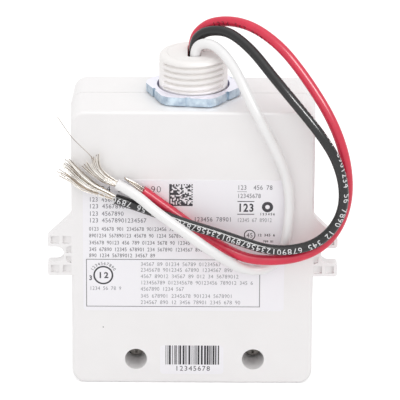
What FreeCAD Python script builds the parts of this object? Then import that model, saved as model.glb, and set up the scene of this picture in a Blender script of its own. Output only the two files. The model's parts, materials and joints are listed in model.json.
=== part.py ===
import FreeCAD, Part
import math
import os

# Wireless dimming module: a two-piece plastic case with a threaded nipple on its top end, a steel
# locknut, three stripped leads and the electronics inside. Millimetres. +Z runs up along the nipple,
# +Y from the label face to the button face, and +X to the right as the label is read. The origin is
# on the bottom end, under the middle of the case.

V = FreeCAD.Vector

# Case
case_width = 73.0
case_height = 89.0
case_depth = 31.5
rear_share = 8 / 15
wall = 2.0
corner_radius = 4.8
label_spread = 0.2
parting_spread = 0.7
button_spread = 0.0
outer_corner = 4.2
label_edge_radius = 0.9
button_edge_radius = 1.0
parting_groove_width = 0.3
parting_groove_depth = 0.4
lip_inset = 1.1
lip_height = 1.5
fit_gap = 0.1

# Mounting ears, one on each side of the rear case
ear_reach = 7.5
ear_thickness = 3.7
ear_bottom_z = 35.8
ear_slot_z = 42.7
ear_slot_width = 5.0
ear_slot_depth = 5.1
ear_tip_top_z = 48.3
ear_gusset_top_z = 55.6
ear_corner = 0.9
ear_gusset_blend = 3.0
pocket_depth = 1.3
pocket_shallow = 0.4
small_pocket_depth = 0.9
pocket_rib = 1.0
pocket_height = 2.5
pocket_flare = 0.5

# Case screws, in recesses at the bottom of the label face
screw_spacing = 35.9
screw_shift = 0.75
screw_z = 8.05
recess_radius = 3.4
recess_depth = 10.5
recess_wall = 1.2
screw_shoulder = 1.6
screw_shank_radius = 1.5
screw_hole_radius = 1.7
screw_length = 12.0
screw_head_radius = 2.8
screw_head_height = 2.0
cross_width = 0.7
cross_length = 3.4
cross_depth = 1.1
boss_radius = 3.6
pilot_gap = 0.05

# Hooks that hold the top of the front case to the rear case
hook_from_side = 10.5
hook_width = 6.0
hook_thickness = 1.5
hook_reach = 6.0
hook_bump = 0.8
ledge_height = 0.7
ledge_length = 2.0
ledge_start = 2.0

# Nipple: a half-inch conduit thread with its square flange inside the case
thread_radius = 10.4
thread_pitch = 25.4 / 14
thread_depth = 0.95
thread_turns = 7.0
thread_front_z = 11.4
thread_rest = 4.8
nipple_height = 13.3
nipple_edge_radius = 1.6
neck_radius = 9.75
bore_radius = 7.2
flange_thickness = 2.0
flange_gap = 0.2
flange_corner = 2.0
seat_gap = 0.05
flange_rib = 2.0
seat_bore_gap = 2.0

# Plug that closes the nipple around the leads
plug_radius = 8.0
plug_thickness = 4.0
slot_half_width = 2.0
slot_x = 0.2
slot_front = 4.7
slot_back = 6.0
mark_x = 4.0
mark_y = 1.0
mark_radius = 1.45
mark_width = 0.35
mark_depth = 0.3

# Locknut
nut_across_corners = 30.0
nut_thickness = 3.0
nut_turned = 173.0
nut_notch_width = 1.5
nut_notch_depth = 0.6
nut_corner_reach = 14.3
nut_rim_chamfer = 0.5
nut_foot_height = 0.45
nut_foot_inset = 1.0
running_gap = 0.06

# Leads: stranded copper in plastic, stripped at the free end. Each route starts inside the plug's slot.
# The points are for a nipple whose mouth is at route_mouth, and a rear case that is route_depth deep.
lead_diameter = 3.1
route_mouth = (1.05, 102.3)
route_depth = 16.8
lead_routes = {
    "black": (
        (0.1, 1.6, 101.2), (0.1, 1.6, 104.9), (2.1, 1.0, 108.0), (5.8, -0.7, 109.8), (10.2, -2.9, 110.1),
        (14.1, -6.1, 108.6), (18.4, -9.7, 105.6), (22.9, -14.0, 101.1), (27.8, -18.6, 96.4),
        (32.8, -21.8, 91.2), (38.2, -23.4, 84.7), (42.8, -23.5, 77.2), (45.4, -23.5, 68.2),
        (45.0, -23.5, 60.1), (41.6, -23.4, 53.6), (36.4, -23.4, 49.3), (29.4, -23.3, 47.5),
        (22.3, -22.9, 47.6), (14.4, -22.2, 50.0), (6.1, -21.6, 52.8), (-1.7, -21.3, 55.1),
        (-9.2, -21.1, 58.0), (-16.9, -19.5, 60.3), (-23.3, -18.5, 62.1),
    ),
    "red": (
        (0.0, 5.0, 101.2), (0.0, 5.0, 104.7), (1.8, 4.7, 107.9), (5.5, 3.3, 110.9), (10.9, 0.7, 112.3),
        (16.1, -2.9, 112.4), (21.3, -6.6, 110.8), (27.0, -10.5, 107.1), (32.0, -13.8, 101.7),
        (36.9, -17.2, 95.4), (41.2, -19.2, 88.4), (44.4, -19.9, 80.7), (46.4, -20.0, 72.2),
        (46.7, -20.0, 63.5), (44.9, -20.1, 55.8), (41.5, -20.8, 50.2), (36.7, -21.4, 46.4),
        (30.2, -21.9, 44.2), (23.0, -21.9, 43.6), (16.2, -21.1, 43.9), (9.6, -19.2, 46.4),
        (3.2, -18.1, 50.3), (-3.3, -17.8, 55.5), (-9.3, -17.8, 60.1), (-15.0, -17.8, 64.5),
    ),
    "white": (
        (0.5, -1.8, 101.2), (0.5, -1.8, 104.1), (2.4, -2.5, 106.2), (5.3, -4.2, 106.6), (7.9, -6.3, 105.6),
        (10.3, -9.4, 103.8), (12.8, -12.7, 101.0), (15.4, -16.9, 96.8), (18.5, -20.1, 91.0),
        (22.1, -20.3, 83.9), (25.6, -19.7, 76.7), (28.3, -18.5, 69.1), (29.3, -17.9, 61.7),
        (29.0, -17.9, 54.9), (28.3, -17.9, 48.3), (26.5, -17.9, 42.4), (21.9, -18.4, 39.0),
        (16.0, -20.5, 39.9), (11.0, -23.2, 43.5), (5.3, -24.6, 47.9), (-0.5, -24.8, 52.4),
        (-5.8, -24.8, 56.5), (-11.6, -23.9, 60.6), (-17.4, -20.8, 64.8), (-22.6, -18.4, 66.7),
    ),
}

# The same leads inside: down the nipple's bore, spreading to their pads on the main board
inner_drop_z = 93.0
inner_bend = {"black": (0.1, 1.5, 84.0), "red": (-4.0, 4.0, 85.5), "white": (4.2, -0.6, 85.5)}
inner_low_y = 1.5
inner_low_z = (77.0, 71.0)
inner_turn_y = -1.5
lead_pad_x = {"black": 0.0, "red": -9.0, "white": 9.0}
lead_pad_below_top = 21.5
tail_radius = 0.9
tail_gap = 0.1
tail_reach = (1.2, 1.5)
solder_cone = (1.8, 1.2)

# Bare strands at each lead's end: middle of a section, half its width and half its depth
strand_sections = {
    "black": (
        ((-23.3, -18.5, 62.1), 0.85, 0.80),
        ((-29.0, -18.4, 64.3), 1.60, 0.85),
        ((-33.4, -18.4, 67.4), 2.20, 0.90),
        ((-40.0, -18.4, 72.1), 3.20, 0.90),
    ),
    "red": (
        ((-15.0, -17.8, 64.5), 0.80, 0.75),
        ((-17.5, -17.9, 66.4), 0.55, 0.50),
        ((-20.5, -18.0, 68.6), 0.25, 0.20),
    ),
    "white": (
        ((-22.6, -18.4, 66.7), 0.85, 0.80),
        ((-26.7, -18.4, 69.5), 1.60, 0.85),
        ((-29.5, -18.4, 73.0), 2.50, 0.90),
        ((-31.0, -18.4, 75.6), 3.10, 0.90),
    ),
}

# Labels
label_thickness = 0.12
label_corner = 1.2
main_label_sides = (3.3, 8.6)
main_label_low = 24.3
main_label_below_top = 21.8
serial_label_x = (-9.8, 9.65)
serial_label_z = (3.1, 12.7)

# Main board, with the supply, the switching parts and the control terminals
board_thickness = 1.6
board_height_above_wall = 4.15
board_from_side = 4.0
board_low_z = 13.5
board_below_top = 17.0
tongue_x = 9.0
tongue_z = 2.3
post_inset = 3.0
post_z = (16.5, 69.0)
post_radius = 2.0
pin_radius = 1.0
pin_proud = 0.6
sheet_thickness = 0.4

# Radio board, which the front case carries
radio_board_thickness = 1.0
radio_board_drop = 7.15
radio_board_x = (-26.0, 16.0)
radio_board_margin = 10.0
radio_post_radius = 2.0
radio_posts = ((-23.5, 2.5), (-23.5, 39.5), (13.5, 39.5))

# Buttons, their switches and the status light
button_x = -5.0
button_top_z = 52.0
button_spacing = 11.0
button_z = {"on": button_top_z, "off": button_top_z - button_spacing, "program": button_top_z - 2 * button_spacing}
button_half_x = 4.5
button_half_z = 2.75
button_corner = 1.2
button_gap = 0.15
button_sunk = 0.3
button_travel = 0.5
button_flange = 1.0
button_flange_thickness = 1.0
button_stem_radius = 1.6
switch_size = 6.0
switch_height = 3.5
plunger_radius = 1.7
plunger_height = 0.8
plunger_depth = 0.5
light_x = 6.5
light_z = button_top_z
light_radius = 1.5
light_foot = (1.0, 1.0)
led_half = (0.8, 1.6)
led_height = 1.2
led_gap = 0.3
panel_half_x = 16.5
panel_margin = 8.0
panel_depth = 0.4
panel_corner = 3.0

# Control terminal block, in the bottom end
terminal_half_x = 5.5
terminal_height = 10.0
terminal_length = 9.5
terminal_sunk = 0.4
terminal_pitch = 5.08
terminal_gap = 0.15
wire_entry_radius = 1.5
wire_entry_depth = 6.5
wire_entry_y = 4.0
funnel_rim = 0.6
funnel_depth = 0.8
release_slot_x = 2.4
release_slot_y = 1.2
release_slot_up = 7.2
clamp_half_x = 1.5
clamp_wall = 0.2
clamp_height = 2.2
clamp_sheet = 0.5
clamp_z = (2.1, 7.9)

# What stands on the main board is placed for a board of these half width, low end and length, with
# layout_clearance up to the radio board, and follows the real board's size.
layout_half_width = 32.5
layout_low_z = 13.5
layout_length = 58.5
layout_clearance = 14.6

# Blocks on the main board's component side: x range, z range, height, rounding of the top edges
board_blocks = {
    "relay": ((18.0, 30.7), (20.0, 49.0), 15.7, 0.6),
    "film_capacitor": ((18.5, 24.5), (53.0, 66.0), 12.0, 0.6),
    "rectifier": ((-31.0, -24.5), (35.0, 41.5), 3.2, 0.3),
}

# Chips on the main board: middle x and z, half sizes, height, and the pins on each side
board_chips = {
    "optocoupler": (-16.0, 39.0, 3.2, 2.3, 3.5),
    "power_controller": (-9.5, 38.5, 2.5, 2.0, 1.6),
    "dimming_driver": (-12.0, 28.0, 4.4, 2.0, 1.6),
}
chip_pin_pitch = {"optocoupler": 3.2, "power_controller": 1.25, "dimming_driver": 1.26}
chip_edge = 0.2
chip_pin_half = 0.2
chip_pin_reach = 1.0
chip_pin_height = 0.35

# On the radio board's button side: x range, z range above the board's low end, height
radio_chip_x = (-20.0, -15.0)
radio_chip_z = (11.0, 16.0)
radio_chip_height = 0.9
controller_x = (4.5, 11.5)
controller_length = 7.0
controller_above_header = 2.84
controller_height = 1.4
shield_x = (-24.0, -11.0)
shield_z = (6.5, 20.0)
shield_height = 2.4
shield_sheet = 0.25

# Header that joins the two boards
header_x = 11.0
header_z = 25.0
header_columns = 2
header_pitch = 2.54
header_rows = 5
header_pin_half = 0.32
header_bore_half = 0.34
header_hole_half = 0.45
header_pin_reach = (1.0, 1.2)

# Varistor, fuse, choke and capacitors
varistor_z = 58.5
varistor_x = (27.0, 31.0)
varistor_radius = 5.0
varistor_lift = 1.2
varistor_edge = 1.2
varistor_leg_z = (56.0, 61.0)
leg_radius = 0.4
fuse_place = (-26.5, 63.5)
fuse_radius = 4.2
fuse_height = 8.0
choke_place = (-26.0, 50.5)
choke_radii = (4.0, 1.9)
choke_base_radius = 4.4
choke_base_height = 1.5
capacitor_x = -25.5
capacitor_z = (29.5, 20.5)
capacitor_gap = 1.0
capacitor_height = 12.0
part_edge = 0.6

# Transformer: a ferrite frame round a middle limb and its winding
core_x = (-18.5, -2.5)
core_z = (48.0, 58.0)
core_height = 12.4
core_wall = 2.0
core_limb_half = 2.0
core_foot = 2.4
coil_gap = 0.1
coil_overhang = 2.0
coil_corner = 2.0

# Switching triac, lying flat with its tab upwards
triac_x = (0.5, 10.5)
triac_z = (41.0, 50.0)
triac_height = 4.4
triac_edge = 0.3
triac_tab_end = 56.0
triac_tab_height = 1.3
triac_hole_radius = 1.8
triac_leg_pitch = 2.54
triac_leg_half = 0.4
triac_leg_start = 37.0
triac_leg_height = 0.8

# Wire antenna on the radio board
antenna_x = -20.0
antenna_z = (24.5, 36.5)
antenna_rise = 4.5
antenna_bend = 1.5
antenna_radius = 0.5

label_y = -case_depth / 2
button_y = case_depth / 2
rear_depth = case_depth * rear_share
parting_y = label_y + rear_depth
nipple_y = parting_y
half_width = case_width / 2
hook_x = half_width - hook_from_side
inner_label_y = label_y + wall
inner_button_y = button_y - wall
nipple_top = case_height + nipple_height
board_y = inner_label_y + board_height_above_wall
board_top_y = board_y + board_thickness
radio_y = inner_button_y - radio_board_drop
radio_top_y = radio_y + radio_board_thickness
screw_places = [(screw_shift - screw_spacing / 2, screw_z), (screw_shift + screw_spacing / 2, screw_z)]
shoulder_y = label_y + recess_depth
board_x = half_width - board_from_side
board_z = (board_low_z, case_height - board_below_top)
radio_board_z = (button_z["program"] - radio_board_margin, button_z["on"] + radio_board_margin)
lead_pad_z = case_height - lead_pad_below_top
main_label_x = (main_label_sides[0] - half_width, half_width - main_label_sides[1])
main_label_z = (main_label_low, case_height - main_label_below_top)


def across(x):
    """An x of the main board's layout, on the real board."""
    return x * board_x / layout_half_width


def along(z):
    """A z of the main board's layout, on the real board."""
    return board_z[0] + (z - layout_low_z) * (board_z[1] - board_z[0]) / layout_length


def above(height):
    """A height over the main board in its layout, with the real distance between the boards."""
    return height * (radio_y - board_top_y) / layout_clearance


def radio_at(z):
    return radio_board_z[0] + z


def placed(point):
    """A point of a lead's route, with the nipple and the label face where they are."""
    x, y, z = point
    mouth_y, mouth_z = route_mouth
    return x, nipple_y + (y - mouth_y) * rear_depth / route_depth, nipple_top + z - mouth_z


def post_places():
    return [(side * (board_x - post_inset), along(z)) for side in (-1, 1) for z in post_z]


def radio_post_places():
    return [(across(x), radio_at(z)) for x, z in radio_posts]


def box(x0, x1, y0, y1, z0, z1):
    return Part.makeBox(x1 - x0, y1 - y0, z1 - z0, V(x0, y0, z0))


def rod_x(y, z, radius, x0, x1):
    return Part.makeCylinder(radius, x1 - x0, V(x0, y, z), V(1, 0, 0))


def rod_y(x, z, radius, y0, y1):
    return Part.makeCylinder(radius, y1 - y0, V(x, y0, z), V(0, 1, 0))


def rod_z(x, y, radius, z0, z1):
    return Part.makeCylinder(radius, z1 - z0, V(x, y, z0), V(0, 0, 1))


def edges_along(shape, axis):
    """The straight edges of a shape that run along X, Y or Z, numbered 0, 1 or 2."""
    found = []
    for edge in shape.Edges:
        span = edge.Vertexes[-1].Point - edge.Vertexes[0].Point
        if span.Length > 1e-6 and abs(abs(span[axis]) - edge.Length) < 1e-6:
            found.append(edge)
    return found


def edges_at_y(shape, y):
    return [e for e in shape.Edges if abs(e.BoundBox.YMin - y) < 1e-4 and abs(e.BoundBox.YMax - y) < 1e-4]


def block_y(x0, x1, y0, y1, z0, z1, radius):
    """A box whose four edges along Y are rounded."""
    shape = box(x0, x1, y0, y1, z0, z1)
    return shape.makeFillet(radius, edges_along(shape, 1))


def block_z(x0, x1, y0, y1, z0, z1, radius):
    """A box whose four edges along Z are rounded."""
    shape = box(x0, x1, y0, y1, z0, z1)
    return shape.makeFillet(radius, edges_along(shape, 2))


def prism_y(points, y0, y1):
    """A flat outline of (x, z) points, pushed from y0 to y1."""
    corners = [V(x, y0, z) for x, z in points]
    face = Part.Face(Part.makePolygon(corners + corners[:1]))
    return face.extrude(V(0, y1 - y0, 0))


def joined(shapes):
    first, rest = shapes[0], list(shapes[1:])
    return first.fuse(rest).removeSplitter() if rest else first


def group(shapes):
    return Part.makeCompound(shapes)


def mirrored(shape):
    return shape.mirror(V(0, 0, 0), V(1, 0, 0))


def save(name, shape):
    if not shape.isValid():
        print("not valid:", name)
    shape.exportStep(f"parts/{name}.step")
    print(f"{name}: {len(shape.Solids)} solids, {shape.Volume:.1f} mm3")


def case_block(y0, y1, inset):
    """The case's outline between two depths, drawn in by inset."""
    x = half_width - inset
    return block_y(-x, x, y0, y1, inset, case_height - inset, corner_radius - inset)


def outer_block(y0, y1, spread0, spread1):
    """The outside of one half of the case. Its sides have draft: the parting line is the widest place."""
    x0, x1 = half_width + spread0, half_width + spread1
    far0, far1 = x0 - (x1 - x0), x1 + (x1 - x0)
    deep0, deep1 = y0 - (y1 - y0), y1 + (y1 - y0)
    corners = [V(-far0, deep0, 0), V(far0, deep0, 0), V(far1, deep1, 0), V(-far1, deep1, 0)]
    block = Part.Face(Part.makePolygon(corners + corners[:1])).extrude(V(0, 0, case_height))
    slanted = [e for e in block.Edges if e.BoundBox.YLength > y1 - y0]
    block = block.makeFillet(outer_corner, slanted)
    return block.common(box(-far0 - far1, far0 + far1, y0, y1, -1, case_height + 1))


def ear_pocket(x0, x1, z0, z1):
    """A pocket whose floor rises towards the case."""
    corners = [V(x0, label_y - 1, z0), V(x1, label_y - 1, z0), V(x1, label_y + pocket_depth, z0),
               V(x0, label_y + pocket_shallow, z0)]
    return Part.Face(Part.makePolygon(corners + corners[:1])).extrude(V(0, 0, z1 - z0))


def ear():
    """The right ear: a slotted lug with a gusset above it and open pockets on its label side."""
    tip = half_width + ear_reach
    inside = half_width - wall / 2
    half_slot = ear_slot_width / 2
    back_y = label_y + ear_thickness
    outline = [
        (inside, ear_bottom_z),
        (tip, ear_bottom_z),
        (tip, ear_tip_top_z),
        (half_width, ear_gusset_top_z),
        (inside, ear_gusset_top_z),
    ]
    lug = prism_y(outline, label_y, back_y)
    outer = [e for e in edges_along(lug, 1) if e.BoundBox.XMin > half_width + 1]
    lug = lug.makeFillet(ear_corner, outer)
    slot_end = tip - ear_slot_depth + half_slot
    low, high = ear_slot_z - half_slot, ear_slot_z + half_slot
    slot = box(slot_end, tip + 1, label_y - 1, back_y + 1, low, high)
    slot = slot.fuse(rod_y(slot_end, ear_slot_z, half_slot, label_y - 1, back_y + 1))
    lug = lug.cut(slot)
    lips = [e for e in edges_along(lug, 1)
            if abs(e.BoundBox.XMin - tip) < 1e-4 and low - 0.1 < e.BoundBox.ZMin < high + 0.1]
    lug = lug.makeFillet(ear_corner, lips)
    first = half_width + label_spread + 0.1
    last = tip - pocket_rib
    middle = (first + last) / 2
    tip_height = low - ear_bottom_z
    cuts = []
    for z in (ear_bottom_z + (tip_height - pocket_height) / 2, high + pocket_rib):
        cuts.append(ear_pocket(first, middle - pocket_rib / 2, z, z + pocket_height))
        cuts.append(ear_pocket(middle + pocket_rib / 2, last, z, z + pocket_height))
    corner = slot_end - half_slot - pocket_rib / 2
    for side in (-1, 1):
        near = ear_slot_z + side * pocket_rib / 2
        far = ear_slot_z + side * (half_slot - 0.1)
        outline = [(first, near), (corner, near), (corner - 0.2, far), (first, far + side * pocket_flare)]
        cuts.append(prism_y(outline, label_y - 1, label_y + small_pocket_depth))
    return lug.cut(group(cuts))


def gusset_blend():
    """The concave rounding where the right ear's gusset meets the side of the case."""
    rise = ear_gusset_top_z - ear_tip_top_z
    slope = math.hypot(ear_reach, rise)
    size = ear_gusset_blend
    top = (half_width, ear_gusset_top_z + size * 0.5)
    low = (half_width + size * 0.6 * ear_reach / slope, ear_gusset_top_z - size * 0.6 * rise / slope)
    start, end = V(top[0], label_y, top[1]), V(low[0], label_y, low[1])
    middle = V(half_width + size * 0.09, label_y, ear_gusset_top_z + size * 0.06)
    arc = Part.Arc(start, middle, end).toShape()
    back = V(half_width - wall / 2, label_y, ear_gusset_top_z)
    wire = Part.Wire([arc, Part.LineSegment(end, back).toShape(), Part.LineSegment(back, start).toShape()])
    return Part.Face(wire).extrude(V(0, ear_thickness, 0))


def flange_seat(y0, y1):
    """The rib under the nipple's flange, in one half of the case."""
    top = case_height - wall - flange_thickness - 2 * seat_gap
    half = flange_half() + flange_rib
    plate = box(-half, half, y0, y1, top - flange_rib, top)
    return plate.cut(rod_z(0, nipple_y, bore_radius + seat_bore_gap, top - flange_rib - 1, top + 1))


def flange_half():
    return inner_button_y - nipple_y - flange_gap


def make_rear_case():
    outer = outer_block(label_y, parting_y, label_spread, parting_spread)
    outer = outer.makeFillet(label_edge_radius, edges_at_y(outer, label_y))
    shell = outer.cut(case_block(inner_label_y, parting_y + 1, wall))
    shell = shell.cut(case_block(parting_y - lip_height - fit_gap, parting_y + 1, lip_inset))
    right = joined([ear(), gusset_blend()])
    tubes = [rod_y(x, z, recess_radius + recess_wall, label_y + wall / 2, shoulder_y + screw_shoulder)
             for x, z in screw_places]
    posts = []
    for x, z in post_places():
        posts.append(rod_y(x, z, post_radius, inner_label_y - wall / 2, board_y))
        posts.append(rod_y(x, z, pin_radius, board_y - wall, board_top_y + pin_proud))
    ledges = []
    for x in (-hook_x, hook_x):
        far = parting_y - ledge_start
        ledges.append(box(x - hook_width / 2, x + hook_width / 2, far - ledge_length, far,
                          case_height - wall - ledge_height, case_height - wall / 2))
    seat = flange_seat(inner_label_y - wall / 2, parting_y)
    shell = joined([shell, right, mirrored(right), seat] + tubes + posts + ledges)
    for x, z in screw_places:
        shell = shell.cut(rod_y(x, z, recess_radius, label_y - 1, shoulder_y))
        shell = shell.cut(rod_y(x, z, screw_hole_radius, shoulder_y - 1, shoulder_y + screw_shoulder + 1))
    neck = rod_z(0, nipple_y, neck_radius + fit_gap, case_height - wall - 1, case_height + 1)
    shell = shell.cut(neck)
    return shell.cut(terminal_opening())


def terminal_opening():
    """The window in the bottom end that the terminal block fills."""
    half = terminal_half_x + terminal_gap
    return box(-half, half, board_top_y - terminal_gap, board_top_y + terminal_height + terminal_gap, -1, wall + 1)


def parting_groove():
    """The fine groove that runs round the case where its halves meet."""
    x = half_width + parting_spread - parting_groove_depth
    far = half_width + ear_reach
    y0, y1 = parting_y - 1, parting_y + parting_groove_width
    ring = box(-far, far, y0, y1, -far, case_height + far)
    return ring.cut(block_y(-x, x, y0 - 1, y1 + 1, parting_groove_depth, case_height - parting_groove_depth,
                            outer_corner - parting_groove_depth))


def make_front_case():
    outer = outer_block(parting_y, button_y, parting_spread, button_spread)
    outer = outer.makeFillet(button_edge_radius, edges_at_y(outer, button_y))
    outer = outer.cut(parting_groove())
    shell = outer.cut(case_block(parting_y - 1, inner_button_y, wall))
    lip = case_block(parting_y - lip_height, parting_y + wall, lip_inset + fit_gap)
    lip = lip.cut(case_block(parting_y - lip_height - 1, parting_y + wall + 1, wall))
    lip = lip.cut(box(-flange_half() - 1, flange_half() + 1, parting_y - lip_height - 1, parting_y,
                      case_height - wall - 1, case_height))
    bosses = [rod_y(x, z, boss_radius, shoulder_y + screw_shoulder, button_y - wall / 2) for x, z in screw_places]
    posts = []
    for x, z in radio_post_places():
        posts.append(rod_y(x, z, radio_post_radius, radio_top_y, button_y - wall / 2))
        posts.append(rod_y(x, z, pin_radius, radio_y - pin_proud, radio_top_y + wall))
    hooks = []
    under = case_height - wall - ledge_height - fit_gap - hook_thickness
    for x in (-hook_x, hook_x):
        x0, x1 = x - hook_width / 2, x + hook_width / 2
        tip = parting_y - hook_reach
        bump_end = parting_y - ledge_start - ledge_length - fit_gap
        hooks.append(box(x0, x1, tip, parting_y + hook_reach, under, under + hook_thickness))
        hooks.append(box(x0, x1, tip, bump_end, under, under + hook_thickness + hook_bump - fit_gap))
        hooks.append(box(x0, x1, parting_y + wall, parting_y + hook_reach, under, case_height - wall / 2))
    seat = flange_seat(parting_y, button_y - wall / 2)
    shell = joined([shell, lip, seat] + bosses + posts + hooks)
    for x, z in screw_places:
        pilot = screw_shank_radius + pilot_gap
        shell = shell.cut(rod_y(x, z, pilot, shoulder_y, shoulder_y + screw_length + 1))
    neck = rod_z(0, nipple_y, neck_radius + fit_gap, case_height - wall - 1, case_height + 1)
    shell = shell.cut(neck)
    panel = block_y(button_x - panel_half_x, button_x + panel_half_x, button_y - panel_depth, button_y + 1,
                    button_z["program"] - panel_margin, button_z["on"] + panel_margin, panel_corner)
    shell = shell.cut(panel)
    for z in button_z.values():
        shell = shell.cut(button_block(z, button_gap, inner_button_y - 1, button_y + 1))
    shell = shell.cut(rod_y(light_x, light_z, light_radius + fit_gap, inner_button_y - 1, button_y + 1))
    return shell.cut(terminal_opening())


def button_block(z, grow, y0, y1):
    half_x, half_z = button_half_x + grow, button_half_z + grow
    return block_y(button_x - half_x, button_x + half_x, y0, y1, z - half_z, z + half_z, button_corner + grow)


def make_button(z):
    """A cap that shows through the front case, with the flange that keeps it in and its stem."""
    face_y = button_y - panel_depth - button_sunk
    flange_top = inner_button_y - button_gap
    flange_low = flange_top - button_flange_thickness
    cap = button_block(z, 0, flange_low, face_y)
    cap = cap.makeFillet(0.3, edges_at_y(cap, face_y))
    flange = button_block(z, button_flange, flange_low, flange_top)
    stem = rod_y(button_x, z, button_stem_radius, plunger_top(), flange_low)
    return joined([cap, flange, stem])


def plunger_top():
    return radio_top_y + switch_height + plunger_height


def make_plunger(z):
    low = radio_top_y + switch_height - plunger_depth
    return rod_y(button_x, z, plunger_radius, low, plunger_top())


def make_tact_switches():
    half = switch_size / 2
    bodies = []
    for z in button_z.values():
        body = box(button_x - half, button_x + half, radio_top_y, radio_top_y + switch_height, z - half, z + half)
        body = body.makeChamfer(0.4, edges_along(body, 1))
        well = radio_top_y + switch_height - plunger_depth - button_travel - fit_gap
        body = body.cut(rod_y(button_x, z, plunger_radius + fit_gap, well, radio_top_y + switch_height + 1))
        bodies.append(body)
    return group(bodies)


def make_nipple():
    """Flange, neck and threaded barrel in one moulding, with a stepped bore."""
    flange_top = case_height - wall - seat_gap
    bottom = flange_top - flange_thickness
    half = flange_half()
    barrel = rod_z(0, nipple_y, thread_radius, bottom, nipple_top)
    top_edges = [e for e in barrel.Edges if abs(e.BoundBox.ZMin - nipple_top) < 1e-4]
    barrel = barrel.makeFillet(nipple_edge_radius, top_edges)
    neck = rod_z(0, nipple_y, thread_radius + 1, flange_top, case_height + 0.2)
    barrel = barrel.cut(neck.cut(rod_z(0, nipple_y, neck_radius, flange_top - 1, case_height + 1)))
    flange = block_z(-half, half, nipple_y - half, nipple_y + half, bottom, flange_top, flange_corner)
    body = joined([barrel, flange])
    body = body.cut(rod_z(0, nipple_y, bore_radius, bottom - 1, nipple_top + 1))
    body = body.cut(rod_z(0, nipple_y, plug_radius + seat_gap, nipple_top - plug_thickness, nipple_top + 1))
    return body.cut(thread_groove())


def thread_groove():
    """A right-hand helical groove whose turns pass the front of the nipple at thread_front_z.

    It stops short of the left and right sides, where the two halves of the nipple's mould part.
    """
    start_z = case_height + thread_front_z - (thread_turns - 0.25) * thread_pitch
    helix = Part.makeHelix(thread_pitch, thread_turns * thread_pitch, thread_radius)
    helix.translate(V(0, nipple_y, start_z))
    half_mouth, half_root = thread_pitch * 0.29, thread_pitch * 0.08
    out, root = thread_radius + 0.15, thread_radius - thread_depth
    corners = [V(out, nipple_y, start_z - half_mouth), V(root, nipple_y, start_z - half_root),
               V(root, nipple_y, start_z + half_root), V(out, nipple_y, start_z + half_mouth)]
    profile = Part.makePolygon(corners + corners[:1])
    groove = Part.Wire(helix.Edges).makePipeShell([profile], True, True)
    far = thread_radius + 1
    rest = box(-far, far, nipple_y - thread_rest, nipple_y + thread_rest, start_z - thread_pitch, nipple_top + far)
    return groove.common(box(-far, far, nipple_y - far, nipple_y + far, start_z - thread_pitch, nipple_top)).cut(rest)


def make_plug():
    low = nipple_top - plug_thickness
    plug = rod_z(0, nipple_y, plug_radius, low, nipple_top)
    slot = block_z(slot_x - slot_half_width, slot_x + slot_half_width, nipple_y - slot_front,
                   nipple_y + slot_back, low - 1, nipple_top + 1, slot_half_width * 0.5)
    ring = rod_z(mark_x, nipple_y + mark_y, mark_radius, nipple_top - mark_depth, nipple_top + 1)
    ring = ring.cut(rod_z(mark_x, nipple_y + mark_y, mark_radius - mark_width, low, nipple_top + 2))
    return plug.cut(slot).cut(ring)


def hexagon(radius, z0, z1):
    corners = []
    for k in range(6):
        angle = math.radians(nut_turned + 60 * k)
        corners.append(V(radius * math.cos(angle), nipple_y + radius * math.sin(angle), z0))
    return Part.Face(Part.makePolygon(corners + corners[:1])).extrude(V(0, 0, z1 - z0))


def make_locknut():
    """A stamped hexagon nut with rounded corners, a smaller foot and a notch in the middle of each side."""
    low, high = case_height + seat_gap, case_height + seat_gap + nut_thickness
    radius = nut_across_corners / 2
    foot_top = low + nut_foot_height
    body = joined([hexagon(radius, foot_top, high), hexagon(radius - nut_foot_inset, low, foot_top)])
    body = body.common(rod_z(0, nipple_y, nut_corner_reach, low, high))
    flat = radius * math.cos(math.radians(30))
    for k in range(6):
        angle = nut_turned + 30 + 60 * k
        notch = box(flat - nut_notch_depth, flat + 1, -nut_notch_width / 2, nut_notch_width / 2, low - 1, high + 1)
        notch.rotate(V(0, 0, 0), V(0, 0, 1), angle)
        notch.translate(V(0, nipple_y, 0))
        body = body.cut(notch)
    bore = thread_radius + running_gap
    body = body.cut(rod_z(0, nipple_y, bore, low - 1, high + 1))
    rims = [e for e in body.Edges if abs(e.Length - 2 * math.pi * bore) < 1e-3]
    return body.makeChamfer(nut_rim_chamfer, rims)


def make_case_screws():
    screws = []
    for x, z in screw_places:
        head = rod_y(x, z, screw_head_radius, shoulder_y - screw_head_height, shoulder_y)
        head = head.makeFillet(0.7, edges_at_y(head, shoulder_y - screw_head_height))
        shank = rod_y(x, z, screw_shank_radius, shoulder_y - 0.5, shoulder_y + screw_length)
        shank = shank.makeChamfer(0.6, edges_at_y(shank, shoulder_y + screw_length))
        screw = joined([head, shank])
        face = shoulder_y - screw_head_height
        reach, half = cross_length / 2, cross_width / 2
        screw = screw.cut(box(x - reach, x + reach, face - 1, face + cross_depth, z - half, z + half))
        screw = screw.cut(box(x - half, x + half, face - 1, face + cross_depth, z - reach, z + reach))
        screws.append(screw)
    return group(screws)


def make_label(xs, zs):
    return block_y(xs[0], xs[1], label_y - label_thickness, label_y, zs[0], zs[1], label_corner)


def make_insulating_sheet():
    """A fish-paper sheet against the rear wall, under the board's solder side."""
    low, high = inner_label_y, inner_label_y + sheet_thickness
    sheet = box(-board_x, board_x, low, high, board_z[0], board_z[1])
    for x, z in post_places():
        sheet = sheet.cut(rod_y(x, z, post_radius + fit_gap, low - 1, high + 1))
    return sheet


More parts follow.
